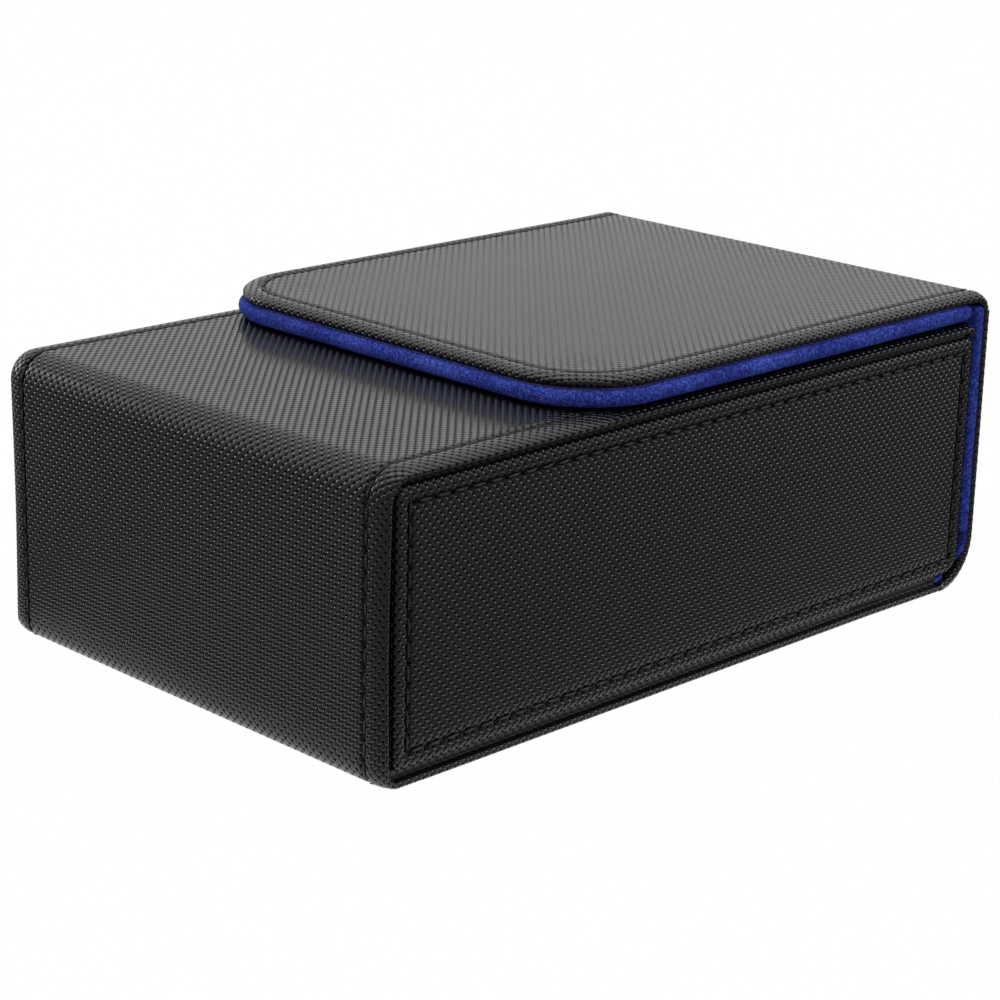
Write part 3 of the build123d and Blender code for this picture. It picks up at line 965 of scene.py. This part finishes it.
studio = {"floor": 2.4, "floorTone": (0.22, 0.22, 0.22), "ambient": 0.55, "front": 0.22, "back": 0.87, "white": 1.035,
          "drop": 0.0004, "floorWhite": 0.96,  # what is left of the floor's white carries the case's shadow
          "footprint": (0.0705, 0.045, 1.0), "poolReach": 0.014, "poolEdge": 0.12,  # painted pool of light: the floor glows white near the case, fading out, seen only in its reflections
          "backWay": (0.7, 0.7, 0.5), "backFrom": -0.15, "backFull": 0.55, "aim": 0.025,
          "lights": [  # place and size in metres, power in watts, all aimed at the case
              {"name": "topSoftbox", "place": (0.1, 0.1, 0.95), "size": (0.9, 0.7), "power": 2.0},
              {"name": "backSoftbox", "place": (0.8, 0.8, 0.5), "size": (1.3, 0.6), "power": 0.2},
              {"name": "rightSoftbox", "place": (0.9, -0.32, 0.3), "size": (0.45, 0.4), "power": 1.1},
              {"name": "leftSoftbox", "place": (-0.3, 0.9, 0.3), "size": (0.45, 0.4), "power": 1.5}]}


def rayKinds(f):
    # rays straight from the camera, and rays by way of something that mirrors
    seen = f.node("ShaderNodeLightPath", None, None, "Is Camera Ray")
    return seen, seen.twin("Is Glossy Ray") + seen.twin("Is Transmission Ray")


def makeFloor():
    deselectAll()
    bpy.ops.mesh.primitive_plane_add(size=studio["floor"], location=(0, 0, -studio["drop"]))
    floor = bpy.context.object
    floor.name = "paleFloor"
    f = newFinish("paleFloor")
    seen, mirror = rayKinds(f)
    matte = f.node("ShaderNodeBsdfDiffuse", None, {"Color": (*studio["floorTone"], 1)})
    white = f.node("ShaderNodeEmission", None, {"Color": (1, 1, 1, 1), "Strength": studio["white"]})
    beyond = f.node("ShaderNodeTexCoord", None, None, "Object")
    for step, other in (("ABSOLUTE", (0, 0, 0)), ("SUBTRACT", studio["footprint"]), ("MAXIMUM", (0, 0, 0))):
        beyond = f.node("ShaderNodeVectorMath", {"operation": step}, {0: beyond, 1: other})
    away = f.node("ShaderNodeVectorMath", {"operation": "LENGTH"}, {0: beyond}, "Value")
    # painted pool of light: near the case's footprint the floor glows white for reflection rays, fading to poolEdge
    pool = f.node("ShaderNodeMapRange", {"interpolation_type": "SMOOTHERSTEP"},
                  {0: away, 1: 0.0, 2: studio["poolReach"], 3: 1.0, 4: studio["poolEdge"]})
    mixed = f.node("ShaderNodeMixShader", None, {0: studio["floorWhite"] * seen + pool * mirror, 1: matte, 2: white})
    floor.data.materials.append(f.surface(mixed))


def makeWorld():
    world = bpy.data.worlds.new("studioWhite")
    bpy.context.scene.world = world
    f = Finish(world)
    seen, mirror = rayKinds(f)
    way = f.node("ShaderNodeTexCoord", None, None, "Generated")
    wayX = f.node("ShaderNodeSeparateXYZ", None, {0: way})
    x, y, z = studio["backWay"]
    towardsBack = x * wayX + y * wayX.twin(1) + z * wayX.twin(2)
    backdrop = f.node("ShaderNodeMapRange", {"interpolation_type": "SMOOTHSTEP"},
                      {0: towardsBack, 1: studio["backFrom"], 2: studio["backFull"],
                       3: studio["front"], 4: studio["back"]})
    strength = seen + (1 - seen) * (mirror * backdrop + (1 - mirror) * studio["ambient"])
    sky = f.node("ShaderNodeBackground", None, {"Color": (1, 1, 1, 1), "Strength": strength})
    f.node("ShaderNodeOutputWorld", None, {"Surface": sky})


def makeLights():
    for look in studio["lights"]:
        deselectAll()
        bpy.ops.object.light_add(type="AREA", location=look["place"])
        lamp = bpy.context.object
        lamp.name = look["name"]
        lamp.data.shape = "RECTANGLE"
        lamp.data.size, lamp.data.size_y = look["size"]
        lamp.data.energy = look["power"]
        aim = Vector((0, 0, studio["aim"])) - lamp.location
        lamp.rotation_euler = aim.to_track_quat("-Z", "Y").to_euler()


# camera as the photo was taken: bearing, rise and roll in degrees, distance in metres
view = {"bearing": -45.665, "rise": 16.948, "roll": 1.538, "distance": 0.4515, "target": (0, 0, 0.02378),
        "sensor": 36.0, "lens": 96.93, "shift": (-0.01456, -0.02822), "near": 0.01}


def makeCamera():
    bearing, rise, roll = (math.radians(view[key]) for key in ("bearing", "rise", "roll"))
    back = np.array([math.sin(bearing) * math.cos(rise), -math.cos(bearing) * math.cos(rise), math.sin(rise)])
    right = np.array([math.cos(bearing), math.sin(bearing), 0.0])
    up = np.cross(back, right)
    right, up = (right * math.cos(roll) + up * math.sin(roll), up * math.cos(roll) - right * math.sin(roll))
    place = np.array(view["target"]) + back * view["distance"]
    deselectAll()
    bpy.ops.object.camera_add()
    camera = bpy.context.object
    camera.name = "photoCamera"
    rows = np.stack([right, up, back, place], -1)
    camera.matrix_world = Matrix([*map(list, rows), [0, 0, 0, 1]])
    camera.data.sensor_width = view["sensor"]
    camera.data.lens = view["lens"]
    camera.data.shift_x, camera.data.shift_y = view["shift"]
    camera.data.clip_start = view["near"]
    bpy.context.scene.camera = camera


makeFloor()
makeWorld()
makeLights()
makeCamera()
bpy.context.scene.view_settings.view_transform = "Standard"
print("studio ready")
